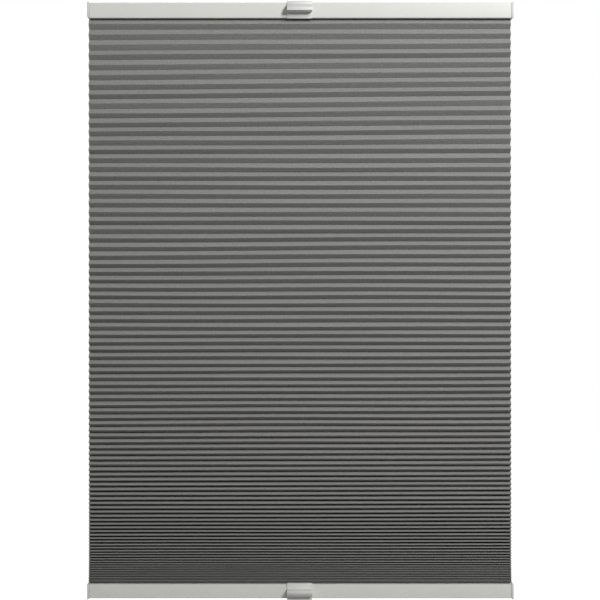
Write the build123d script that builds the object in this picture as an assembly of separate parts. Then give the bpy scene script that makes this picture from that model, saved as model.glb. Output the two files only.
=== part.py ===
"""Pleated honeycomb blind, 600 mm wide and 838 mm tall, drawn with its fabric down.

Two aluminium rails, turned towards each other, hold a honeycomb fabric between them.
Millimetres. X runs along the rails, -Y faces the room and +Z is up.
The origin is the middle of the blind's bounding box.
"""
from build123d import *
import math
import os

os.makedirs("parts", exist_ok=True)

# Overall size, rail to rail and cap to cap.
blind_width = 600.0
blind_height = 838.0

# Rail, one aluminium extrusion used at the top and, turned over, at the bottom.
rail_height = 21.5
rail_depth = 22.0
rail_wall = 1.3
rail_bulge = 0.4
rail_edge_radius = 0.6
chamber_height = 9.2
web_thickness = 1.2
lip_thickness = 1.4
slot_width = 8.0

# End cap, pressed into the cord chamber. Its flange closes the rail's end.
cap_flange = 3.0
cap_rise = 1.5
cap_chamfer = 1.6
cap_corner_radius = 1.2
cap_plug_length = 11.0
cap_plug_wall = 1.4
cap_rib = 0.8
cap_lead = 0.7

# Honeycomb fabric: the cells open further the more cells hang below them.
cell_count = 92
facet_length = 9.7
glue_band = 5.5
fabric_thickness = 0.3
slack_fold = 0.10
opening_gain = 1.05
opening_power = 1.25
exit_gap = 1.0
neck_ease = 0.6

# Plastic strips that hold the fabric's end loops in the rails.
strip_width = 14.0
strip_thickness = 1.6
strip_end_gap = 2.0

# Ways for the two tension cords.
cord_inset = 52.0
cord_hole = 3.0
web_hole_radius = 2.6
guide_length = 20.0
guide_spigot_wall = 1.1
guide_cord_way = 3.4
eyelet_inset = 22.0
eyelet_bore_radius = 1.3
eyelet_wall = 1.0
eyelet_flange = 1.2
eyelet_flange_thickness = 1.0

# Springs that keep the tension cords tight, the block that holds them and their end plugs.
spring_radius = 2.6
spring_wire = 0.8
spring_pitch = 3.4
spring_turns = 9
turn_sides = 8
wire_sides = 6
anchor_length = 18.0
anchor_wall = 1.6
stud_length = 7.0
stud_clearance = 0.05
plug_head_length = 3.0
plug_cord_hole = 0.9

# Clip-on handle, the same moulding on both rails.
handle_width = 35.4
handle_plate = 1.2
handle_reach = 13.0
handle_ledge_drop = 13.6
handle_lip = 4.4
handle_brow = 1.4
handle_brow_drop = 2.2
handle_waist = 0.3
handle_waist_drop = 4.2
handle_wall = 1.5
handle_hook = 2.0
handle_hook_depth = 3.2
handle_toe = 0.9
handle_toe_depth = 2.2
handle_finger_radius = 0.9
handle_lip_radius = 2.4
handle_rib = 1.4

# Clearances.
fit_clearance = 0.1
soft_clearance = 0.3
cord_clearance = 0.5

# Sizes that follow from the ones above.
rail_length = blind_width - 2 * cap_flange
rail_end = rail_length / 2
outer_z = blind_height / 2
mouth_z = outer_z - rail_height
inner_width = rail_depth - 2 * rail_wall
chamber_top = rail_height - rail_wall
chamber_floor = chamber_top - chamber_height
channel_top = chamber_floor - web_thickness
fabric_width = rail_length - 2 * soft_clearance
strip_length = rail_length - 2 * strip_end_gap
cord_x = rail_end - cord_inset
eyelet_x = rail_end - eyelet_inset
eyelet_radius = eyelet_bore_radius + eyelet_wall
eyelet_depth = rail_wall + fit_clearance + eyelet_flange_thickness
loop_half = strip_width / 2 + soft_clearance + fabric_thickness
loop_low = lip_thickness + soft_clearance
loop_high = loop_low + strip_thickness + 2 * (soft_clearance + fabric_thickness)
neck_half = glue_band / 2 + neck_ease
fabric_half_depth = glue_band / 2 + facet_length
hanging_length = 2 * (mouth_z - exit_gap)
stud_radius = spring_radius * math.cos(math.pi / turn_sides) - spring_wire / 2 - stud_clearance
coil_length = spring_pitch * spring_turns
coil_x = anchor_length / 2 + spring_wire / 2 + fit_clearance
plug_x = coil_x + coil_length + spring_wire / 2 + fit_clearance
spring_z = mouth_z + chamber_floor + chamber_height / 2

# The rails' middle plane lies behind the origin, because the handles stand out in front.
rail_y = (rail_depth / 2 + handle_plate + handle_reach - fabric_half_depth) / 2
front_y = -rail_depth / 2


def along_rail(section, length):
    """Extrude a section drawn in (depth, height above the rail's mouth) along the top rail."""
    profile = Plane.YZ.offset(-length / 2) * section
    return Pos(0, rail_y, mouth_z) * extrude(profile, length)


def turned_over(piece):
    """The same piece in the bottom rail, which is the top rail turned over."""
    return Rot(0, 180, 0) * piece


def rail_section():
    """Closed cord chamber on the outer side, open fabric channel with two lips below it."""
    back_y = rail_depth / 2
    crown = ThreePointArc(
        (front_y + rail_bulge, 0),
        (front_y, rail_height / 2),
        (front_y + rail_bulge, rail_height),
    )
    sides = Polyline(
        (front_y + rail_bulge, rail_height),
        (back_y, rail_height),
        (back_y, 0),
        (front_y + rail_bulge, 0),
    )
    outline = make_face([crown, *sides.edges()])
    outline = fillet(outline.vertices(), rail_edge_radius)
    chamber = Rectangle(inner_width, chamber_height)
    channel_height = channel_top - lip_thickness
    channel = Rectangle(inner_width, channel_height)
    slot = Rectangle(slot_width, 2 * lip_thickness)
    outline -= Pos(0, chamber_floor + chamber_height / 2) * chamber
    outline -= Pos(0, lip_thickness + channel_height / 2) * channel
    outline -= Pos(0, lip_thickness / 2) * slot
    return outline


def rail():
    """The extrusion with its cord holes: one pair through the web, one pair outwards."""
    body = along_rail(rail_section(), rail_length)
    web_z = mouth_z + (channel_top + chamber_floor) / 2
    wall_z = outer_z - rail_wall / 2
    for side in (-1, 1):
        web_hole = Cylinder(web_hole_radius, 2 * web_thickness)
        body -= Pos(side * cord_x, rail_y, web_z) * web_hole
        wall_hole = Cylinder(eyelet_radius + fit_clearance, 2 * rail_wall)
        body -= Pos(side * eyelet_x, rail_y, wall_z) * wall_hole
    return body


def end_cap():
    """Right-hand cap of the top rail: a flange, and a hollow plug in the cord chamber."""
    flange_end = rail_end + cap_flange
    front_view = Polyline(
        (rail_end, 0),
        (flange_end - cap_chamfer, 0),
        (flange_end, cap_chamfer),
        (flange_end, rail_height + cap_rise),
        (flange_end - cap_flange / 2, rail_height + cap_rise),
        (rail_end, rail_height),
        close=True,
    )
    flange = extrude(Plane.XZ * make_face(front_view), rail_depth / 2, both=True)
    side_view = Rectangle(rail_depth, rail_height + cap_rise, align=(Align.CENTER, Align.MIN))
    side_view = fillet(side_view.vertices(), cap_corner_radius)
    flange &= extrude(Plane.YZ * side_view, flange_end)
    plug_width = inner_width - 2 * fit_clearance
    plug_height = chamber_height - 2 * fit_clearance
    plug_x = rail_end - cap_plug_length / 2
    plug_z = chamber_floor + chamber_height / 2
    plug = Pos(plug_x, 0, plug_z) * Box(cap_plug_length, plug_width, plug_height)
    lead_edges = plug.faces().sort_by(Axis.X)[0].edges()
    plug = chamfer(lead_edges + plug.edges().filter_by(Axis.X), cap_lead)
    hollow_width = plug_width - 2 * cap_plug_wall
    hollow_height = plug_height - 2 * cap_plug_wall
    hollow = Box(cap_plug_length + cap_flange / 2, hollow_width, hollow_height)
    rib = Box(cap_plug_length + cap_flange / 2, cap_rib, hollow_height)
    hollow -= Pos(0, -hollow_width / 6, 0) * rib
    hollow -= Pos(0, hollow_width / 6, 0) * rib
    cap = flange + plug - Pos(plug_x, 0, plug_z) * hollow
    return Pos(0, rail_y, mouth_z) * cap


def handle():
    """A bar for the fingers below a narrow waist. It hooks over the top rail's outer edge."""
    top = rail_height
    ledge = top - handle_ledge_drop
    lip = ledge + handle_lip
    waist = top - handle_waist_drop
    plate_y = front_y - handle_plate
    reach_y = plate_y - handle_reach
    waist_y = plate_y - handle_waist
    hook_y = front_y + handle_hook_depth
    toe_y = front_y + handle_toe_depth
    outline = Polyline(
        (hook_y, top),
        (front_y, top),
        (front_y, 0),
        (toe_y, 0),
        (toe_y, -handle_toe),
        (plate_y, -handle_toe),
        (plate_y, ledge),
        (reach_y, ledge),
        (reach_y, lip),
        (waist_y, waist),
        (plate_y - handle_brow, top - handle_brow_drop),
        (plate_y, top + handle_hook),
        (hook_y, top + handle_hook),
        close=True,
    )
    section = make_face(outline)
    lip_corners = section.vertices().sort_by(Axis.X)[:2].sort_by(Axis.Y)
    section = fillet(lip_corners[1], handle_lip_radius)
    finger_corner = section.vertices().sort_by(Axis.X)[:2].sort_by(Axis.Y)[0]
    section = fillet(finger_corner, handle_finger_radius)
    body = Plane.YZ.offset(-handle_width / 2) * section
    body = extrude(body, handle_width)
    core_outline = Polyline(
        (front_y, ledge + handle_wall),
        (reach_y + 2, ledge + handle_wall),
        (reach_y + 2, lip - handle_wall / 2),
        (front_y, waist - handle_wall),
        close=True,
    )
    core_width = handle_width - 2 * handle_wall
    core = Plane.YZ.offset(-core_width / 2) * make_face(core_outline)
    core = extrude(core, core_width)
    core -= Pos(0, (front_y + reach_y) / 2, top / 2) * Box(handle_rib, handle_reach * 2, top * 2)
    body -= core
    return Pos(0, rail_y, mouth_z) * body


def cell_pitches():
    """Height of each cell, from the lowest up. A cell's facets lean at the angle at which
    their bending balances the weight of the fabric below, and all of them fill the drop."""
    heights = []
    for cell in range(cell_count):
        load = opening_gain * ((cell + 0.5) / cell_count) ** opening_power
        low, high = slack_fold, math.pi / 2
        while high - low > 1e-6:
            angle = (low + high) / 2
            if (angle - slack_fold) > load * math.cos(angle):
                high = angle
            else:
                low = angle
        heights.append(math.sin(angle))
    stretch = hanging_length / sum(heights)
    return [height * stretch for height in heights]


def honeycomb_fabric():
    """One solid with a hollow hexagonal cell for every pleat and a loop in each rail."""
    level = -hanging_length / 2
    front = []
    cells = []
    for pitch in cell_pitches():
        nose = glue_band / 2 + math.sqrt(facet_length**2 - (pitch / 2) ** 2)
        front.append((glue_band / 2, level))
        front.append((nose, level + pitch / 2))
        lean = math.asin(pitch / 2 / facet_length)
        inner_band = glue_band / 2 - fabric_thickness * math.tan(lean / 2)
        inner_nose = nose - fabric_thickness / math.sin(lean)
        right = [
            (inner_band, level + fabric_thickness),
            (inner_nose, level + pitch / 2),
            (inner_band, level + pitch - fabric_thickness),
        ]
        left = [(-depth, height) for depth, height in reversed(right)]
        cells.append(Polyline(*right, *left, close=True))
        level += pitch
    front.append((glue_band / 2, level))
    loop = [
        (neck_half, mouth_z),
        (neck_half, mouth_z + loop_low),
        (loop_half, mouth_z + loop_low),
        (loop_half, mouth_z + loop_high),
    ]
    lower_loop = [(depth, -height) for depth, height in reversed(loop)]
    front = lower_loop + front + loop
    back = [(-depth, height) for depth, height in reversed(front)]
    section = make_face(Polyline(*front, *back, close=True))
    thin = fabric_thickness
    inner = [
        (glue_band / 2 - thin / 2, hanging_length / 2 + thin),
        (neck_half - thin, mouth_z),
        (neck_half - thin, mouth_z + loop_low + thin),
        (loop_half - thin, mouth_z + loop_low + thin),
        (loop_half - thin, mouth_z + loop_high - thin),
    ]
    opposite = [(-depth, height) for depth, height in reversed(inner)]
    loop_hole = Polyline(*inner, *opposite, close=True)
    upper_loop_hole = make_face(loop_hole)
    section -= upper_loop_hole
    section -= Rot(180, 0, 0) * upper_loop_hole
    holes = [make_face(cell) for cell in cells]
    section = section - holes
    fabric = Plane.YZ.offset(-fabric_width / 2) * section
    fabric = extrude(fabric, fabric_width)
    return Pos(0, rail_y, 0) * fabric


def fabric_strip():
    """Strip inside the fabric's top loop, too wide to pass the slot between the lips."""
    section = Rectangle(strip_width, strip_thickness)
    centre_height = (loop_low + loop_high) / 2
    strip = along_rail(Pos(0, centre_height) * section, strip_length)
    for side in (-1, 1):
        hole = Cylinder(cord_hole / 2 + cord_clearance, 2 * strip_thickness)
        strip -= Pos(side * cord_x, rail_y, mouth_z + centre_height) * hole
    return strip


def cord_guide():
    """Right-hand guide of the top rail: it turns a cord from the chamber down to the fabric."""
    block_height = chamber_height - 2 * fit_clearance
    block = Box(guide_length, inner_width - 2 * fit_clearance, block_height)
    block -= Pos(0, 0, block_height / 4) * Box(2 * guide_length, guide_cord_way, block_height / 2)
    spigot_radius = web_hole_radius - fit_clearance
    spigot_length = block_height / 2 + web_thickness
    spigot = Cylinder(spigot_radius, spigot_length, align=(Align.CENTER, Align.CENTER, Align.MAX))
    block += spigot
    block -= Cylinder(spigot_radius - guide_spigot_wall, 2 * block_height)
    centre_z = mouth_z + chamber_floor + chamber_height / 2
    return Pos(cord_x, rail_y, centre_z) * block


def cord_eyelet():
    """Right-hand eyelet of the top rail, flush with its outer face, where a cord leaves."""
    hanging = (Align.CENTER, Align.CENTER, Align.MAX)
    flange_radius = eyelet_radius + eyelet_flange
    ring = Cylinder(eyelet_radius, eyelet_depth, align=hanging)
    flange = Cylinder(flange_radius, eyelet_flange_thickness, align=hanging)
    ring += Pos(0, 0, -rail_wall - fit_clearance) * flange
    ring -= Cylinder(eyelet_bore_radius, 2 * eyelet_depth)
    return Pos(eyelet_x, rail_y, outer_z) * ring


def tension_spring():
    """Right-hand spring: an open coil that is screwed onto the anchor's stud.
    Its turns and its wire are drawn with flat sides."""
    corners = []
    for corner in range(spring_turns * turn_sides + 1):
        turned = 2 * math.pi * corner / turn_sides
        across = spring_radius * math.cos(turned)
        up = spring_radius * math.sin(turned)
        corners.append((across, up, spring_pitch * corner / turn_sides))
    path = Polyline(*corners)
    wire_section = Plane(origin=path @ 0, z_dir=path % 0) * RegularPolygon(spring_wire / 2, wire_sides)
    coil = sweep(wire_section, path=path, transition=Transition.RIGHT)
    return Pos(coil_x, rail_y, spring_z) * Rot(0, 90, 0) * coil


def spring_anchor():
    """Hollow block in the middle of the top rail's chamber, with a stud for each spring."""
    width = inner_width - 2 * fit_clearance
    height = chamber_height - 2 * fit_clearance
    block = Box(anchor_length, width, height)
    pocket = Box(anchor_length - 2 * anchor_wall, width - 2 * anchor_wall, height)
    block -= Pos(0, 0, anchor_wall) * pocket
    for side in (-1, 1):
        stud = Rot(0, 90, 0) * Cylinder(stud_radius, stud_length)
        block += Pos(side * (anchor_length + stud_length) / 2, 0, 0) * stud
    return Pos(0, rail_y, spring_z) * block


def spring_plug():
    """Plug in the far end of the right-hand spring, with a hole for the cord's knot."""
    head_radius = spring_radius + spring_wire / 2
    stud = Cylinder(stud_radius, stud_length, align=(Align.CENTER, Align.CENTER, Align.MAX))
    head = Cylinder(head_radius, plug_head_length, align=(Align.CENTER, Align.CENTER, Align.MIN))
    plug = stud + head - Cylinder(plug_cord_hole, 2 * stud_length + 2 * plug_head_length)
    return Pos(plug_x, rail_y, spring_z) * Rot(0, 90, 0) * plug


top_rail = rail()
top_right_cap = end_cap()
top_left_cap = mirror(top_right_cap, Plane.YZ)
top_handle = handle()
top_strip = fabric_strip()
right_guide = cord_guide()
left_guide = mirror(right_guide, Plane.YZ)
right_eyelet = cord_eyelet()
left_eyelet = mirror(right_eyelet, Plane.YZ)
right_spring = tension_spring()
right_plug = spring_plug()

nodes = {
    "top_rail": top_rail,
    "bottom_rail": turned_over(top_rail),
    "top_left_cap": top_left_cap,
    "top_right_cap": top_right_cap,
    "bottom_left_cap": turned_over(top_right_cap),
    "bottom_right_cap": turned_over(top_left_cap),
    "top_handle": top_handle,
    "bottom_handle": turned_over(top_handle),
    "honeycomb_fabric": honeycomb_fabric(),
    "top_fabric_strip": top_strip,
    "bottom_fabric_strip": turned_over(top_strip),
    "top_left_cord_guide": left_guide,
    "top_right_cord_guide": right_guide,
    "bottom_left_cord_guide": turned_over(right_guide),
    "bottom_right_cord_guide": turned_over(left_guide),
    "top_left_eyelet": left_eyelet,
    "top_right_eyelet": right_eyelet,
    "bottom_left_eyelet": turned_over(right_eyelet),
    "bottom_right_eyelet": turned_over(left_eyelet),
    "left_tension_spring": mirror(right_spring, Plane.YZ),
    "right_tension_spring": right_spring,
    "left_spring_plug": mirror(right_plug, Plane.YZ),
    "right_spring_plug": right_plug,
    "spring_anchor": spring_anchor(),
}

for name, shape in nodes.items():
    export_step(shape, f"parts/{name}.step")
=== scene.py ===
"""Pleated honeycomb blind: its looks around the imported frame, with the light and the camera."""
import math
import random

import bmesh
import bpy
from mathutils import Matrix, Vector


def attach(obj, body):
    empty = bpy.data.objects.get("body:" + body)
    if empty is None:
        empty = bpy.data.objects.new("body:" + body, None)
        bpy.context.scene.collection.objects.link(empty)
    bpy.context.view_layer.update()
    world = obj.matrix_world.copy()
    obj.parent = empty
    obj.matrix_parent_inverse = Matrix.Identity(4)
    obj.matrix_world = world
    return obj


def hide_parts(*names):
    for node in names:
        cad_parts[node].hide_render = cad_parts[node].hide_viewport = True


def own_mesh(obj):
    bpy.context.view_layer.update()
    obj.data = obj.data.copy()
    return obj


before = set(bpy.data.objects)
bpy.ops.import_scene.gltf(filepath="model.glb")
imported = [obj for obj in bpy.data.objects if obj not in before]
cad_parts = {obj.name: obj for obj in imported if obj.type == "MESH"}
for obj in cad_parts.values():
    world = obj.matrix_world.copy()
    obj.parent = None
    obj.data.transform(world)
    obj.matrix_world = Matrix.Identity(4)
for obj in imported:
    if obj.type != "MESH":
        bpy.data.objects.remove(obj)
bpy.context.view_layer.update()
random.seed(7)

# Shapes are drawn in millimetres and turned to metres as each piece is finished.
MILLIMETRE = 0.001
# Places nearer than this are one place, and vertices nearer than the merge gap are joined.
NEAR = 0.01
MERGE_GAP = 0.001
# An edge at which the surface turns more than this is a corner.
CORNER_TURN = math.radians(30)
PIN_SIDES = 40

# The blind, its rails and its caps, as in the part's source.
BLIND_WIDTH = 600.0
BLIND_HEIGHT = 838.0
RAIL_HEIGHT = 21.5
RAIL_DEPTH = 22.0
RAIL_WALL = 1.3
RAIL_BULGE = 0.4
RAIL_BULGE_STEPS = 12
RAIL_EDGE_RADIUS = 0.6
CHAMBER_HEIGHT = 9.2
WEB_THICKNESS = 1.2
LIP_THICKNESS = 1.4
SLOT_WIDTH = 8.0
WEB_HOLE_RADIUS = 2.6
CORD_INSET = 52.0
EYELET_INSET = 22.0
EYELET_HOLE_RADIUS = 2.4
CAP_FLANGE = 3.0
CAP_RISE = 1.5
CAP_CHAMFER = 1.6
CAP_CORNER_RADIUS = 1.2
CAP_PLUG_LENGTH = 11.0
CAP_PLUG_WALL = 1.4
CAP_RIB = 0.8
CAP_LEAD = 0.7
FIT_CLEARANCE = 0.1
SOFT_CLEARANCE = 0.3
# The caps' edges are a little softer here than in the part's source, and the extrusions end
# just before the caps, so that the seam shows.
CAP_EDGE_RADIUS = 0.25
CAP_SEAM = 0.3

# Handle. Reach is how far a part of it stands out, drop how far below the rail's edge it is. Its
# bar is a little taller and rounder than in the part's source, and its waist is higher.
HANDLE_WIDTH = 35.4
HANDLE_PLATE = 1.2
HANDLE_REACH = 13.0
HANDLE_LEDGE_DROP = 13.6
HANDLE_LIP = 6.2
HANDLE_WAIST = 0.2
HANDLE_WAIST_DROP = 2.4
HANDLE_WALL = 1.5
HANDLE_HOOK = 2.0
HANDLE_HOOK_DEPTH = 3.2
HANDLE_TOE = 0.9
HANDLE_TOE_DEPTH = 2.2
HANDLE_FINGER_RADIUS = 0.9
HANDLE_LIP_RADIUS = 3.4
HANDLE_LIP_WALL = 2.5
HANDLE_TIP_WALL = 2.0
HANDLE_POCKET_BACK = 0.5
HANDLE_RIB = 1.4
HANDLE_EDGE_RADIUS = 0.3
HANDLE_ASIDE = -1.2

# Honeycomb fabric. The slack fold is a facet's angle in radians with nothing below it. The gain
# and the power say how the weight of the cells below opens a cell, and the angles are found to
# within the fold error.
CELL_COUNT = 92
FACET_LENGTH = 9.7
GLUE_BAND = 5.5
SLACK_FOLD = 0.10
OPENING_GAIN = 1.05
OPENING_POWER = 1.25
FOLD_ERROR = 1e-6
EXIT_GAP = 1.0
NECK_EASE = 0.6
STRIP_WIDTH = 14.0
STRIP_THICKNESS = 1.6
CLOTH_THICKNESS = 0.25
CLOTH_OVERHANG = 1.1
CREASE_RADIUS = 0.35
LOOP_CREASE_RADIUS = 0.6
CREASE_STEPS = 3
CLOTH_STATIONS = 16

# How the fabric strays. A tilt is the rise of a pleat's right end and the two heights between
# which it swells up and dies away. Spacings are millimetres for each radian of a slow wave. Band
# stray, crease lift and facet bow are shares of a cell's height.
BAND_STRAY = 0.04
TILTS = ((2.6, 190, 394), (1.5, 22, 106), (0.7, -394, 22))
RIPPLE = 0.3
RIPPLE_SPACING_ALONG = 75
RIPPLE_SPACING_SLANT = 130
RIPPLE_SPACING_DOWN = 60
ASIDE_AT_FOOT = -0.5
ASIDE_MORE_AT_TOP = -0.5
CREASE_LIFT = 0.03
CREASE_LIFT_SPACING = 90
CREASE_PUSH = 0.12
CREASE_PUSH_SPACING = 60
FACET_BOW = 0.01
# Each cell's cloth comes from another stretch of the roll, up to this many metres along it.
ROLL_STRETCH = 5

# Studio, in metres. A lamp has its place, the side of its square and its power in watts.
LAMPS = {
    "key_softbox": ((1.1, -2.0, 1.05), 0.4, 37.0),
    "high_softbox": ((0.9, -1.6, 1.5), 0.5, 17.5),
    "left_softbox": ((-1.0, -1.7, 0.9), 0.4, 3.0),
    "back_softbox": ((-0.7, 1.9, 1.1), 1.0, 46.0),
}
WORLD_FILL = 0.03
FLOOR_REACH = 9.0
FLOOR_Z = -0.95
# The floor's painted glow has this strength near the blind and grows to full white between the
# near and far distances.
FLOOR_GLOW_NEAR = 0.55
FLOOR_NEAR = 1.2
FLOOR_FAR = 2.6
CAMERA_PLACE = (-0.0006, -2.1046, 0.0007)
LENS_MM = 89.6
SENSOR_MM = 36

# Sizes that follow from the ones above.
RAIL_END = BLIND_WIDTH / 2 - CAP_FLANGE
OUTER_Z = BLIND_HEIGHT / 2
MOUTH_Z = OUTER_Z - RAIL_HEIGHT
INNER_WIDTH = RAIL_DEPTH - 2 * RAIL_WALL
CHAMBER_FLOOR = RAIL_HEIGHT - RAIL_WALL - CHAMBER_HEIGHT
CHANNEL_TOP = CHAMBER_FLOOR - WEB_THICKNESS
HALF_BAND = GLUE_BAND / 2
NOSE_REACH = HALF_BAND + FACET_LENGTH
RAIL_Y = (RAIL_DEPTH / 2 + HANDLE_PLATE + HANDLE_REACH - NOSE_REACH) / 2
LOOP_WIDTH = 2 * (RAIL_END - SOFT_CLEARANCE)
FABRIC_WIDTH = LOOP_WIDTH + CLOTH_OVERHANG
HANGING_LENGTH = 2 * (MOUTH_Z - EXIT_GAP)
FRONT = -RAIL_DEPTH / 2

TURNED_OVER = Matrix.Rotation(math.pi, 4, "Y")
HALF_TURN = Matrix.Rotation(math.pi, 4, "Z")
IN_TOP_RAIL = Matrix.Translation((0, RAIL_Y, MOUTH_Z))
# Both handles were clipped on by hand, a little to the left of the middle.
CLIPPED_ASIDE = Matrix.Translation((HANDLE_ASIDE, 0, 0))


def linear(hex_colour):
    """Linear colour with alpha from an sRGB hex value such as "8E8E8C"."""
    channels = [int(hex_colour[i : i + 2], 16) / 255 for i in (0, 2, 4)]
    return [c / 12.92 if c <= 0.04045 else ((c + 0.055) / 1.055) ** 2.4 for c in channels] + [1.0]


def scale_of(millimetres):
    """The scale of a pattern whose marks are this many millimetres across."""
    return 1 / (millimetres * MILLIMETRE)


def add_node(tree, kind, inputs, **settings):
    """Add a shader node. Inputs are values or other nodes' output sockets."""
    node = tree.nodes.new(kind)
    for name, value in settings.items():
        setattr(node, name, value)
    for socket, value in inputs.items():
        if isinstance(value, bpy.types.NodeSocket):
            tree.links.new(value, node.inputs[socket])
        else:
            node.inputs[socket].default_value = value
    return node


def new_finish(name):
    """An empty material, its node tree and its output node."""
    material = bpy.data.materials.new(name)
    material.use_nodes = True
    tree = material.node_tree
    tree.nodes.clear()
    return material, tree, tree.nodes.new("ShaderNodeOutputMaterial")


def powder_coated_aluminium():
    """Light grey polyester powder coat, baked on the extrusion: an even satin skin with a very
    shallow orange peel, and faint draw lines of the extrusion under it."""
    material, tree, output = new_finish("powder_coated_aluminium")
    place = add_node(tree, "ShaderNodeTexCoord", {}).outputs["Object"]
    # The peel's bumps are about 1.5 mm wide and a few thousandths of a millimetre high.
    peel = add_node(
        tree, "ShaderNodeTexNoise", {"Vector": place, "Scale": scale_of(1.5), "Detail": 2}
    )
    # Draw lines of the die are about 0.3 mm apart. They are drawn 1.5 mm apart so that they
    # show, and 400 mm long.
    along = add_node(
        tree,
        "ShaderNodeMapping",
        {"Vector": place, "Scale": (scale_of(400), scale_of(1.5), scale_of(1.5))},
    )
    lines = add_node(
        tree, "ShaderNodeTexNoise", {"Vector": along.outputs[0], "Scale": 1, "Detail": 2}
    )
    # The coat is a little thicker and lighter in patches about 60 mm across.
    clouds = add_node(
        tree, "ShaderNodeTexNoise", {"Vector": place, "Scale": scale_of(60), "Detail": 2}
    )
    tint = add_node(
        tree,
        "ShaderNodeMix",
        {0: clouds.outputs["Fac"], "A": linear("CFCFCA"), "B": linear("D5D5D1")},
        data_type="RGBA",
    )
    satin = add_node(
        tree,
        "ShaderNodeMapRange",
        {"Value": lines.outputs["Fac"], "To Min": 0.36, "To Max": 0.46},
    )
    height = add_node(
        tree,
        "ShaderNodeMath",
        {0: peel.outputs["Fac"], 1: lines.outputs["Fac"]},
        operation="ADD",
    )
    relief = add_node(
        tree,
        "ShaderNodeBump",
        {"Height": height.outputs[0], "Strength": 0.3, "Distance": 0.03 * MILLIMETRE},
    )
    shader = add_node(
        tree,
        "ShaderNodeBsdfPrincipled",
        {"Base Color": tint.outputs[2], "Roughness": satin.outputs[0], "IOR": 1.5,
         "Normal": relief.outputs[0]},
    )
    tree.links.new(shader.outputs[0], output.inputs["Surface"])
    return material


def grained_plastic(name, light, dark, roughness):
    """Plastic from a spark-eroded mould or a plain die: an even grey with a fine matt grain."""
    material, tree, output = new_finish(name)
    place = add_node(tree, "ShaderNodeTexCoord", {}).outputs["Object"]
    # The grain is about 0.15 mm wide. It is drawn 0.6 mm wide so that it shows.
    grain = add_node(
        tree, "ShaderNodeTexNoise", {"Vector": place, "Scale": scale_of(0.6), "Detail": 3}
    )
    # Flow of the melt leaves faint clouds about 15 mm across.
    clouds = add_node(
        tree, "ShaderNodeTexNoise", {"Vector": place, "Scale": scale_of(15), "Detail": 1}
    )
    tint = add_node(
        tree,
        "ShaderNodeMix",
        {0: clouds.outputs["Fac"], "A": linear(dark), "B": linear(light)},
        data_type="RGBA",
    )
    matt = add_node(
        tree,
        "ShaderNodeMapRange",
        {"Value": grain.outputs["Fac"], "To Min": roughness - 0.06, "To Max": roughness + 0.06},
    )
    relief = add_node(
        tree,
        "ShaderNodeBump",
        {"Height": grain.outputs["Fac"], "Strength": 0.35, "Distance": 0.04 * MILLIMETRE},
    )
    shader = add_node(
        tree,
        "ShaderNodeBsdfPrincipled",
        {"Base Color": tint.outputs[2], "Roughness": matt.outputs[0], "IOR": 1.53,
         "Normal": relief.outputs[0]},
    )
    tree.links.new(shader.outputs[0], output.inputs["Surface"])
    return material


def nonwoven_polyester():
    """Spun non-woven polyester: a dull matt grey with a faint web of pressed fibres. Its pattern
    follows the cloth's own unfolded length and width."""
    material, tree, output = new_finish("nonwoven_polyester")
    cloth = add_node(tree, "ShaderNodeUVMap", {}, uv_map="unfolded").outputs[0]
    # Fibres lie mostly across the machine, in wisps about 12 mm long and 0.7 mm wide. Single
    # fibres are far too thin to show.
    drawn = add_node(
        tree, "ShaderNodeMapping", {"Vector": cloth, "Scale": (scale_of(12), scale_of(0.7), 1)}
    )
    wisps = add_node(
        tree, "ShaderNodeTexNoise", {"Vector": drawn.outputs[0], "Scale": 1, "Detail": 4}
    )
    # Pressed spots and thicker places about 3 mm across.
    tufts = add_node(
        tree, "ShaderNodeTexNoise", {"Vector": cloth, "Scale": scale_of(3), "Detail": 3}
    )
    mottle = add_node(
        tree,
        "ShaderNodeMath",
        {0: wisps.outputs["Fac"], 1: tufts.outputs["Fac"]},
        operation="ADD",
    )
    depth = add_node(
        tree,
        "ShaderNodeMapRange",
        {"Value": mottle.outputs[0], "From Min": 0.7, "From Max": 1.3},
    )
    tint = add_node(
        tree,
        "ShaderNodeMix",
        {0: depth.outputs[0], "A": linear("848482"), "B": linear("989895")},
        data_type="RGBA",
    )
    relief = add_node(
        tree,
        "ShaderNodeBump",
        {"Height": mottle.outputs[0], "Strength": 0.3, "Distance": 0.1 * MILLIMETRE},
    )
    shader = add_node(
        tree,
        "ShaderNodeBsdfPrincipled",
        {"Base Color": tint.outputs[2], "Roughness": 0.9, "IOR": 1.5, "Specular IOR Level": 0.08,
         "Normal": relief.outputs[0]},
    )
    tree.links.new(shader.outputs[0], output.inputs["Surface"])
    return material


def drawn_steel():
    """Bright drawn spring wire: a clean metal with fine scratches of the drawing die."""
    material, tree, output = new_finish("drawn_steel")
    place = add_node(tree, "ShaderNodeTexCoord", {}).outputs["Object"]
    # Die scratches about 0.1 mm wide, drawn 0.4 mm wide so that they show.
    scratches = add_node(
        tree, "ShaderNodeTexNoise", {"Vector": place, "Scale": scale_of(0.4), "Detail": 2}
    )
    rubbed = add_node(
        tree,
        "ShaderNodeMapRange",
        {"Value": scratches.outputs["Fac"], "To Min": 0.22, "To Max": 0.38},
    )
    shader = add_node(
        tree,
        "ShaderNodeBsdfPrincipled",
        {"Base Color": linear("C4C4C6"), "Metallic": 1.0, "Roughness": rubbed.outputs[0]},
    )
    tree.links.new(shader.outputs[0], output.inputs["Surface"])
    return material


def drawn_section(corners, start, length):
    """A bmesh pulled out along X from a closed outline of (depth, height) corners."""
    shape = bmesh.new()
    ring = [shape.verts.new((start, depth, height)) for depth, height in corners]
    face = shape.faces.new(ring)
    pulled = bmesh.ops.extrude_face_region(shape, geom=[face])["geom"]
    moved = [item for item in pulled if isinstance(item, bmesh.types.BMVert)]
    bmesh.ops.translate(shape, verts=moved, vec=(length, 0, 0))
    bmesh.ops.recalc_face_normals(shape, faces=shape.faces)
    return shape


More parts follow.
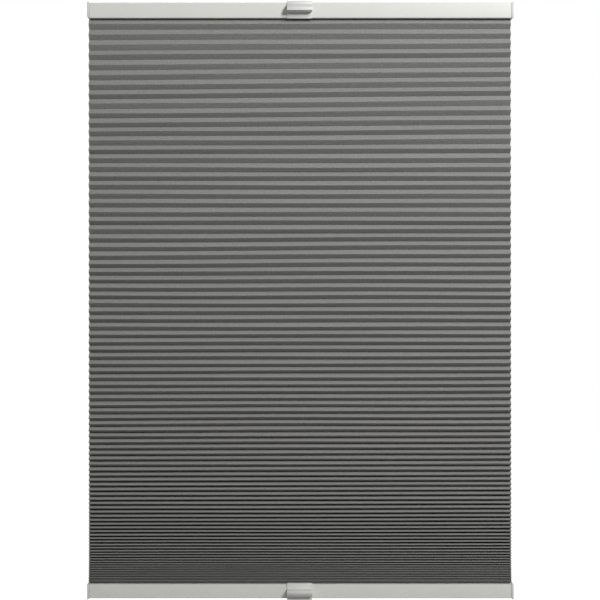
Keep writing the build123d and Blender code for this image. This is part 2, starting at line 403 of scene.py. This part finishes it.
def block(size, centre):
    """A plain block, used to cut with or to start from."""
    shape = bmesh.new()
    bmesh.ops.create_cube(shape, size=1.0)
    bmesh.ops.scale(shape, vec=size, verts=shape.verts)
    bmesh.ops.translate(shape, vec=centre, verts=shape.verts)
    return shape


def upright_pin(radius, height, centre):
    """An upright round pin, used to cut holes with."""
    shape = bmesh.new()
    bmesh.ops.create_cone(
        shape, cap_ends=True, segments=PIN_SIDES, radius1=radius, radius2=radius, depth=height
    )
    bmesh.ops.translate(shape, vec=centre, verts=shape.verts)
    return shape


def length_along(edge):
    """How far an edge runs along the blind."""
    return abs(edge.verts[0].co.x - edge.verts[1].co.x)


def round_edges(shape, edges, radius, steps):
    """Round a list of edges."""
    bmesh.ops.bevel(
        shape,
        geom=edges,
        offset=radius,
        offset_type="OFFSET",
        affect="EDGES",
        segments=steps,
        profile=0.5,
        clamp_overlap=True,
        material=-1,
    )


def loose_object(name, shape):
    """An object made from a bmesh, which is used up."""
    mesh = bpy.data.meshes.new(name)
    shape.to_mesh(mesh)
    shape.free()
    made = bpy.data.objects.new(name, mesh)
    bpy.context.scene.collection.objects.link(made)
    return made


def joined(shape, joins=(), cuts=()):
    """The shape with others joined to it and then others cut out of it, as a new bmesh."""
    body = loose_object("body", shape)
    tools = [(loose_object("join", tool), "UNION") for tool in joins]
    tools += [(loose_object("cut", tool), "DIFFERENCE") for tool in cuts]
    for tool, operation in tools:
        change = body.modifiers.new(operation.lower(), "BOOLEAN")
        change.object = tool
        change.operation = operation
        change.solver = "EXACT"
    bpy.context.view_layer.update()
    evaluated = body.evaluated_get(bpy.context.evaluated_depsgraph_get())
    result = bmesh.new()
    result.from_mesh(evaluated.data)
    for scrap in [body] + [tool for tool, _ in tools]:
        bpy.data.objects.remove(scrap)
    return result


def finished_piece(name, shape, places, material, body, nodes, crease=32.0):
    """Set a bmesh in the blind, shade it smooth where it turns less than the crease angle in
    degrees, and tie it to its body."""
    for place in places:
        bmesh.ops.transform(shape, matrix=place, verts=shape.verts)
    bmesh.ops.transform(shape, matrix=Matrix.Scale(MILLIMETRE, 4), verts=shape.verts)
    for face in shape.faces:
        face.smooth = True
    for edge in shape.edges:
        edge.smooth = edge.is_manifold and edge.calc_face_angle() < math.radians(crease)
    piece = loose_object(name, shape)
    piece.data.materials.append(material)
    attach(piece, body)
    if nodes:
        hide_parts(*nodes)
    return piece


def rail_profile():
    """The extrusion: a bowed front, rounded edges, a cord chamber, and a channel with a slot."""
    corners = []
    for step in range(RAIL_BULGE_STEPS + 1):
        share = step / RAIL_BULGE_STEPS
        bow = RAIL_BULGE * (2 * share - 1) ** 2
        corners.append((FRONT + bow, RAIL_HEIGHT * share))
    corners += [(-FRONT, RAIL_HEIGHT), (-FRONT, 0)]
    rail = drawn_section(corners, CAP_SEAM - RAIL_END, 2 * (RAIL_END - CAP_SEAM))
    long_edges = [
        edge
        for edge in rail.edges
        if length_along(edge) > RAIL_END and edge.calc_face_angle() > CORNER_TURN
    ]
    round_edges(rail, long_edges, RAIL_EDGE_RADIUS, steps=5)
    longer = 2 * BLIND_WIDTH
    chamber_z = CHAMBER_FLOOR + CHAMBER_HEIGHT / 2
    channel_z = (LIP_THICKNESS + CHANNEL_TOP) / 2
    cuts = [
        block((longer, INNER_WIDTH, CHAMBER_HEIGHT), (0, 0, chamber_z)),
        block((longer, INNER_WIDTH, CHANNEL_TOP - LIP_THICKNESS), (0, 0, channel_z)),
        block((longer, SLOT_WIDTH, 4 * LIP_THICKNESS), (0, 0, 0)),
    ]
    for side in (-1, 1):
        cord_x = side * (RAIL_END - CORD_INSET)
        eyelet_x = side * (RAIL_END - EYELET_INSET)
        cuts.append(upright_pin(WEB_HOLE_RADIUS, 4 * WEB_THICKNESS, (cord_x, 0, CHANNEL_TOP)))
        cuts.append(upright_pin(EYELET_HOLE_RADIUS, 4 * RAIL_WALL, (eyelet_x, 0, RAIL_HEIGHT)))
    return joined(rail, cuts=cuts)


def cap_flange():
    """A cap's plate: round corners, two slanted faces and soft edges."""
    height = RAIL_HEIGHT + CAP_RISE
    half = RAIL_DEPTH / 2
    flange = drawn_section(
        [(-half, 0), (-half, height), (half, height), (half, 0)], RAIL_END, CAP_FLANGE
    )
    through = [edge for edge in flange.edges if length_along(edge) > CAP_FLANGE / 2]
    round_edges(flange, through, CAP_CORNER_RADIUS, steps=4)
    end_x = RAIL_END + CAP_FLANGE
    slants = [((end_x, 0, CAP_CHAMFER), (1, 0, -1)), ((RAIL_END, 0, RAIL_HEIGHT), (-1, 0, 1))]
    for point, normal in slants:
        everything = list(flange.verts) + list(flange.edges) + list(flange.faces)
        cut = bmesh.ops.bisect_plane(
            flange, geom=everything, plane_co=point, plane_no=normal, clear_outer=True
        )
        rim = [item for item in cut["geom_cut"] if isinstance(item, bmesh.types.BMEdge)]
        bmesh.ops.holes_fill(flange, edges=rim)
    bmesh.ops.remove_doubles(flange, verts=flange.verts, dist=MERGE_GAP)
    bmesh.ops.recalc_face_normals(flange, faces=flange.faces)
    sharp = [edge for edge in flange.edges if edge.calc_face_angle() > CORNER_TURN]
    round_edges(flange, sharp, CAP_EDGE_RADIUS, steps=2)
    return flange


def end_cap():
    """Right-hand cap of the top rail: its flange and a plug with three hollows."""
    plug_width = INNER_WIDTH - 2 * FIT_CLEARANCE
    plug_height = CHAMBER_HEIGHT - 2 * FIT_CLEARANCE
    plug_z = CHAMBER_FLOOR + CHAMBER_HEIGHT / 2
    root = CAP_FLANGE / 2
    plug_x = RAIL_END + root / 2 - CAP_PLUG_LENGTH / 2
    plug = block((CAP_PLUG_LENGTH + root, plug_width, plug_height), (plug_x, 0, plug_z))
    inner_x = min(vert.co.x for vert in plug.verts)
    lead = [edge for edge in plug.edges if min(v.co.x for v in edge.verts) < inner_x + NEAR]
    round_edges(plug, lead, CAP_LEAD, steps=2)
    hollow_width = (plug_width - 2 * CAP_PLUG_WALL - 2 * CAP_RIB) / 3
    hollow_size = (CAP_PLUG_LENGTH, hollow_width, plug_height - 2 * CAP_PLUG_WALL)
    cuts = []
    for place in (-1, 0, 1):
        centre = (inner_x + root, place * (hollow_width + CAP_RIB), plug_z)
        cuts.append(block(hollow_size, centre))
    return joined(cap_flange(), joins=[plug], cuts=cuts)


def handle():
    """A bar for the fingers below a narrow waist, hooked over the top rail's outer edge."""
    top = RAIL_HEIGHT
    ledge = top - HANDLE_LEDGE_DROP
    lip = ledge + HANDLE_LIP
    waist = top - HANDLE_WAIST_DROP
    plate = FRONT - HANDLE_PLATE
    reach = plate - HANDLE_REACH
    hook = FRONT + HANDLE_HOOK_DEPTH
    toe = FRONT + HANDLE_TOE_DEPTH
    corners = [
        (hook, top),
        (FRONT, top),
        (FRONT, 0),
        (toe, 0),
        (toe, -HANDLE_TOE),
        (plate, -HANDLE_TOE),
        (plate, ledge),
        (reach, ledge),
        (reach, lip),
        (plate - HANDLE_WAIST, waist),
        (plate, top + HANDLE_HOOK),
        (hook, top + HANDLE_HOOK),
    ]
    body = drawn_section(corners, -HANDLE_WIDTH / 2, HANDLE_WIDTH)
    for height, radius in ((lip, HANDLE_LIP_RADIUS), (ledge, HANDLE_FINGER_RADIUS)):
        corner = [
            edge
            for edge in body.edges
            if all(abs(v.co.y - reach) < NEAR and abs(v.co.z - height) < NEAR for v in edge.verts)
        ]
        round_edges(body, corner, radius, steps=5)
    soft = []
    for edge in body.edges:
        against_rail = min(vert.co.y for vert in edge.verts) > FRONT - NEAR
        if edge.calc_face_angle() > CORNER_TURN and not against_rail:
            soft.append(edge)
    round_edges(body, soft, HANDLE_EDGE_RADIUS, steps=2)
    pocket_width = (HANDLE_WIDTH - 2 * HANDLE_WALL - HANDLE_RIB) / 2
    pocket_back = FRONT + HANDLE_POCKET_BACK
    pocket_tip = reach + HANDLE_TIP_WALL
    pocket_corners = [
        (pocket_back, ledge + HANDLE_WALL),
        (pocket_tip, ledge + HANDLE_WALL),
        (pocket_tip, lip - HANDLE_LIP_WALL),
        (FRONT, waist - HANDLE_WALL),
        (pocket_back, waist - HANDLE_WALL),
    ]
    cuts = []
    for start in (-HANDLE_RIB / 2 - pocket_width, HANDLE_RIB / 2):
        cuts.append(drawn_section(pocket_corners, start, pocket_width))
    return joined(body, cuts=cuts)


def cell_heights():
    """Height of each cell, from the lowest up: the cells open further the more fabric hangs
    below them, until the bending of their facets balances that weight."""
    heights = []
    for cell in range(CELL_COUNT):
        load = OPENING_GAIN * ((cell + 0.5) / CELL_COUNT) ** OPENING_POWER
        low, high = SLACK_FOLD, math.pi / 2
        while high - low > FOLD_ERROR:
            angle = (low + high) / 2
            if (angle - SLACK_FOLD) > load * math.cos(angle):
                high = angle
            else:
                low = angle
        heights.append(math.sin(angle))
    stretch = HANGING_LENGTH / sum(heights)
    return [height * stretch for height in heights]


def band_levels():
    """Heights of the glue bands. Cells are never quite alike, so the inner bands stray."""
    level = -HANGING_LENGTH / 2
    levels = [level]
    for height in cell_heights():
        level += height
        levels.append(level + random.uniform(-BAND_STRAY, BAND_STRAY) * height)
    levels[-1] = HANGING_LENGTH / 2
    return levels


def swell(z, low, high):
    """A smooth swelling between two heights: nothing at both, one in the middle."""
    share = (z - low) / (high - low)
    return math.sin(math.pi * share) if 0 < share < 1 else 0.0


def hang(x, z):
    """How far the hanging fabric strays sideways and up. It hangs a little to the left, its
    pleats sit higher on the right, most of all below the top rail, and it ripples."""
    side = x / (FABRIC_WIDTH / 2)
    tilt = sum(rise * swell(z, low, high) for rise, low, high in TILTS)
    free = math.cos(math.pi * z / HANGING_LENGTH)
    wave = math.sin(x / RIPPLE_SPACING_ALONG + z / RIPPLE_SPACING_SLANT)
    ripple = RIPPLE * free * wave * math.sin(z / RIPPLE_SPACING_DOWN + 1)
    aside = ASIDE_AT_FOOT + ASIDE_MORE_AT_TOP * (z / HANGING_LENGTH + 0.5)
    return aside, tilt * side + ripple


def pulled_ring(corners, width):
    """A bmesh of cloth: a closed ring of (depth, height) corners pulled out along the blind."""
    cloth = bmesh.new()
    ring = [cloth.verts.new((-width / 2, depth, height)) for depth, height in corners]
    edges = [cloth.edges.new((ring[i], ring[i - 1])) for i in range(len(ring))]
    pulled = bmesh.ops.extrude_edge_only(cloth, edges=edges)["geom"]
    far = [item for item in pulled if isinstance(item, bmesh.types.BMVert)]
    bmesh.ops.translate(cloth, verts=far, vec=(width, 0, 0))
    return cloth


def long_edges_where(cloth, is_there):
    """The edges along the blind whose first vertex passes a test."""
    return [
        edge
        for edge in cloth.edges
        if length_along(edge) > RAIL_END and is_there(edge.verts[0].co)
    ]


def divide_along(cloth):
    """Divide cloth into stations along the blind."""
    lengthwise = [edge for edge in cloth.edges if length_along(edge) > RAIL_END]
    bmesh.ops.subdivide_edges(
        cloth, edges=lengthwise, cuts=CLOTH_STATIONS - 1, use_grid_fill=True
    )


def cell_tube(low, high):
    """One cell: a tube of cloth with a round crease front and back, and soft facets."""
    half = (high - low) / 2
    middle = (low + high) / 2
    nose = HALF_BAND + math.sqrt(FACET_LENGTH**2 - half**2)
    # The facets' planes meet at the apex, and the rounding takes the crease back to the nose.
    centre = nose - HALF_BAND - CREASE_RADIUS
    lean = math.acos(CREASE_RADIUS / math.hypot(half, centre)) - math.atan2(centre, half)
    apex = HALF_BAND + half / math.tan(lean)
    front = [(-HALF_BAND, low), (-apex, middle), (-HALF_BAND, high)]
    back = [(HALF_BAND, high), (apex, middle), (HALF_BAND, low)]
    cloth = pulled_ring(front + back, FABRIC_WIDTH)
    creases = long_edges_where(cloth, lambda place: abs(place.y) > apex - NEAR)
    round_edges(cloth, creases, CREASE_RADIUS / math.tan(lean), CREASE_STEPS)
    facets = [
        edge
        for edge in cloth.edges
        if length_along(edge) < NEAR
        and abs((edge.verts[0].co.y + edge.verts[1].co.y) / 2) > HALF_BAND
        and edge.calc_length() > FACET_LENGTH / 2
    ]
    bmesh.ops.subdivide_edges(cloth, edges=facets, cuts=1)
    divide_along(cloth)
    unfold(cloth, middle, nose)
    stray(cloth, middle, nose, high - low)
    bmesh.ops.recalc_face_normals(cloth, faces=cloth.faces)
    return cloth


def facet_share(place, nose):
    """How far out along its facet a place is: 0 at the glue band, 1 at the crease."""
    return max(0.0, (abs(place.y) - HALF_BAND) / (nose - HALF_BAND))


def unfold(cloth, middle, nose):
    """Give a tube its unfolded length and width as a UV map in metres."""
    layer = cloth.loops.layers.uv.new("unfolded")
    start = random.uniform(0, ROLL_STRETCH)
    for face in cloth.faces:
        centre = face.calc_center_median()
        for loop in face.loops:
            place = loop.vert.co
            share = facet_share(place, nose)
            out = HALF_BAND + share * FACET_LENGTH if share else abs(place.y)
            if centre.z > middle:
                out = GLUE_BAND + 2 * FACET_LENGTH - out
            around = math.copysign(out, centre.y if abs(centre.y) > NEAR else place.y)
            loop[layer].uv = (place.x * MILLIMETRE, around * MILLIMETRE + start)


def stray(cloth, middle, nose, pitch):
    """Bow a tube's facets, let its creases wander, and move it to where it hangs."""
    phase = [random.uniform(0, 2 * math.pi) for _ in range(4)]
    for vert in cloth.verts:
        place = vert.co
        share = facet_share(place, nose)
        side = 0 if place.y < 0 else 2
        wander = math.sin(place.x / CREASE_LIFT_SPACING + phase[side])
        lift = share * CREASE_LIFT * pitch * wander
        push = CREASE_PUSH * share * math.sin(place.x / CREASE_PUSH_SPACING + phase[side + 1])
        bow = FACET_BOW * pitch * 4 * share * (1 - share)
        vert.co.y = place.y + math.copysign(push, place.y)
        vert.co.z = place.z + lift + math.copysign(bow, place.z - middle) * (share > 0)
        aside, up = hang(place.x, place.z)
        vert.co.x += aside
        vert.co.z += up


def honeycomb_fabric():
    """All the cells, glued band to band."""
    fabric = bmesh.new()
    levels = band_levels()
    for low, high in zip(levels, levels[1:]):
        tube = cell_tube(low, high)
        scrap = bpy.data.meshes.new("cell")
        tube.to_mesh(scrap)
        tube.free()
        fabric.from_mesh(scrap)
        bpy.data.meshes.remove(scrap)
    return fabric


def rail_loop():
    """The loop of fabric round the strip in the top rail, down to the first glue band."""
    neck = HALF_BAND + NECK_EASE
    wide = STRIP_WIDTH / 2 + SOFT_CLEARANCE + CLOTH_THICKNESS
    low = LIP_THICKNESS + SOFT_CLEARANCE
    high = low + STRIP_THICKNESS + 2 * (SOFT_CLEARANCE + CLOTH_THICKNESS)
    back = [(HALF_BAND, -EXIT_GAP), (neck, 0), (neck, low), (wide, low), (wide, high)]
    front = [(-depth, height) for depth, height in reversed(back)]
    cloth = pulled_ring(back + front, LOOP_WIDTH)
    creases = long_edges_where(cloth, lambda place: place.z > low / 2)
    round_edges(cloth, creases, LOOP_CREASE_RADIUS, CREASE_STEPS)
    divide_along(cloth)
    bmesh.ops.recalc_face_normals(cloth, faces=cloth.faces)
    layer = cloth.loops.layers.uv.new("unfolded")
    for face in cloth.faces:
        for loop in face.loops:
            place = loop.vert.co
            loop[layer].uv = (place.x * MILLIMETRE, (place.y + 2 * place.z) * MILLIMETRE)
    return cloth


def thicken(piece):
    """Give a piece of cloth its thickness, inwards from its outer face."""
    wall = piece.modifiers.new("cloth_thickness", "SOLIDIFY")
    wall.thickness = CLOTH_THICKNESS * MILLIMETRE
    wall.offset = -1
    wall.use_rim = True


def softbox(name, place, side, watts):
    """A square soft studio lamp that faces the middle of the blind."""
    lamp = bpy.data.lights.new(name, "AREA")
    lamp.shape = "SQUARE"
    lamp.size = side
    lamp.energy = watts
    holder = bpy.data.objects.new(name, lamp)
    bpy.context.scene.collection.objects.link(holder)
    holder.location = place
    holder.rotation_euler = (-Vector(place)).to_track_quat("-Z", "Y").to_euler()


def looking_rays(tree):
    """A socket that is 1 for rays that look at the surroundings, straight or by gloss or glass,
    and 0 for those that gather light."""
    ray = add_node(tree, "ShaderNodeLightPath", {})
    straight_or_gloss = add_node(
        tree,
        "ShaderNodeMath",
        {0: ray.outputs["Is Camera Ray"], 1: ray.outputs["Is Glossy Ray"]},
        operation="MAXIMUM",
    )
    looking = add_node(
        tree,
        "ShaderNodeMath",
        {0: straight_or_gloss.outputs[0], 1: ray.outputs["Is Transmission Ray"]},
        operation="MAXIMUM",
    )
    return looking.outputs[0]


def floor_paint_and_glow():
    """Matt pale paint with a painted glow, seen only by rays that look at the surroundings, which
    is weaker near the blind and full white further out, where the lamps' light fades. So the
    floor is seen as white, and as grey only near the blind, where it is shaded."""
    material, tree, output = new_finish("floor_paint_and_glow")
    paint = add_node(tree, "ShaderNodeBsdfDiffuse", {"Color": linear("B8B8B6")})
    place = add_node(tree, "ShaderNodeTexCoord", {}).outputs["Object"]
    away = add_node(tree, "ShaderNodeVectorMath", {0: place}, operation="LENGTH")
    # Painted glow: weaker near the blind, rising to full white further out, where the lamps'
    # light fades.
    white = add_node(
        tree,
        "ShaderNodeMapRange",
        {"Value": away.outputs["Value"], "From Min": FLOOR_NEAR, "From Max": FLOOR_FAR,
         "To Min": FLOOR_GLOW_NEAR, "To Max": 1.0},
    )
    strength = add_node(
        tree,
        "ShaderNodeMath",
        {0: looking_rays(tree), 1: white.outputs[0]},
        operation="MULTIPLY",
    )
    glow = add_node(
        tree,
        "ShaderNodeEmission",
        {"Color": linear("FFFFFF"), "Strength": strength.outputs[0]},
    )
    both = add_node(tree, "ShaderNodeAddShader", {0: paint.outputs[0], 1: glow.outputs[0]})
    tree.links.new(both.outputs[0], output.inputs["Surface"])
    return material


def studio_floor():
    """A wide pale floor below the blind."""
    shape = bmesh.new()
    bmesh.ops.create_grid(shape, x_segments=1, y_segments=1, size=FLOOR_REACH)
    bmesh.ops.translate(shape, vec=(0, 0, FLOOR_Z), verts=shape.verts)
    floor = loose_object("floor", shape)
    floor.data.materials.append(floor_paint_and_glow())


def studio_world():
    """White surroundings that give the blind next to no light."""
    world = bpy.data.worlds.new("studio_world")
    world.use_nodes = True
    tree = world.node_tree
    tree.nodes.clear()
    level = add_node(
        tree, "ShaderNodeMapRange", {"Value": looking_rays(tree), "To Min": WORLD_FILL}
    )
    sky = add_node(
        tree,
        "ShaderNodeBackground",
        {"Color": linear("FFFFFF"), "Strength": level.outputs[0]},
    )
    add_node(tree, "ShaderNodeOutputWorld", {"Surface": sky.outputs[0]})
    bpy.context.scene.world = world


def camera():
    """A long lens straight in front of the blind, a hair above its middle."""
    lens = bpy.data.cameras.new("camera")
    lens.sensor_width = SENSOR_MM
    lens.lens = LENS_MM
    holder = bpy.data.objects.new("camera", lens)
    bpy.context.scene.collection.objects.link(holder)
    holder.location = CAMERA_PLACE
    holder.rotation_euler = (math.radians(90), 0, 0)
    bpy.context.scene.camera = holder


camera()
for name, (place, side, watts) in LAMPS.items():
    softbox(name, place, side, watts)
studio_floor()
studio_world()

# The caps and handles are moulded ABS, the handles with a softer sheen. The guides, eyelets,
# plugs and anchor are moulded nylon, and the strips are extruded PVC.
coated_aluminium = powder_coated_aluminium()
cap_abs = grained_plastic("cap_abs", "CDCDC9", "C7C7C3", 0.55)
handle_abs = grained_plastic("handle_abs", "D3D3D0", "CECECB", 0.45)
guide_nylon = grained_plastic("guide_nylon", "CFCFCD", "C8C8C6", 0.55)
strip_pvc = grained_plastic("strip_pvc", "E4E4E0", "DDDDD9", 0.5)
polyester = nonwoven_polyester()
spring_steel = drawn_steel()

# Turning the bottom pieces over swaps their sides.
ends = (("top", [], ("right", "left")), ("bottom", [TURNED_OVER], ("left", "right")))
for end, over, sides in ends:
    set_name = f"{end}_set"
    finished_piece(
        f"{end}_rail_extrusion", rail_profile(), [IN_TOP_RAIL, *over],
        coated_aluminium, set_name, [f"{end}_rail"],
    )
    finished_piece(
        f"{end}_handle_moulding", handle(), [IN_TOP_RAIL, *over, CLIPPED_ASIDE],
        handle_abs, set_name, [f"{end}_handle"],
    )
    for side, turn in zip(sides, ([], [HALF_TURN])):
        finished_piece(
            f"{end}_{side}_cap_moulding", end_cap(), [*turn, IN_TOP_RAIL, *over],
            cap_abs, set_name, [f"{end}_{side}_cap"],
        )
    loop = finished_piece(
        f"{end}_rail_loop", rail_loop(), [IN_TOP_RAIL, *over],
        polyester, set_name, [], crease=60,
    )
    thicken(loop)

fabric = finished_piece(
    "pleated_fabric", honeycomb_fabric(), [Matrix.Translation((0, RAIL_Y, 0))],
    polyester, "top_set", ["honeycomb_fabric"], crease=12,
)
thicken(fabric)
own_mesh(fabric)

# The pieces inside the rails are the frame's own solids, with their finishes.
inner_finishes = {
    "strip": strip_pvc,
    "guide": guide_nylon,
    "eyelet": guide_nylon,
    "plug": guide_nylon,
    "anchor": guide_nylon,
    "spring": spring_steel,
}
for name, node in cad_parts.items():
    last_word = name.split("_")[-1]
    if last_word in inner_finishes and not node.hide_render:
        node.data.materials.clear()
        node.data.materials.append(inner_finishes[last_word])

bpy.context.scene.view_settings.view_transform = "Standard"
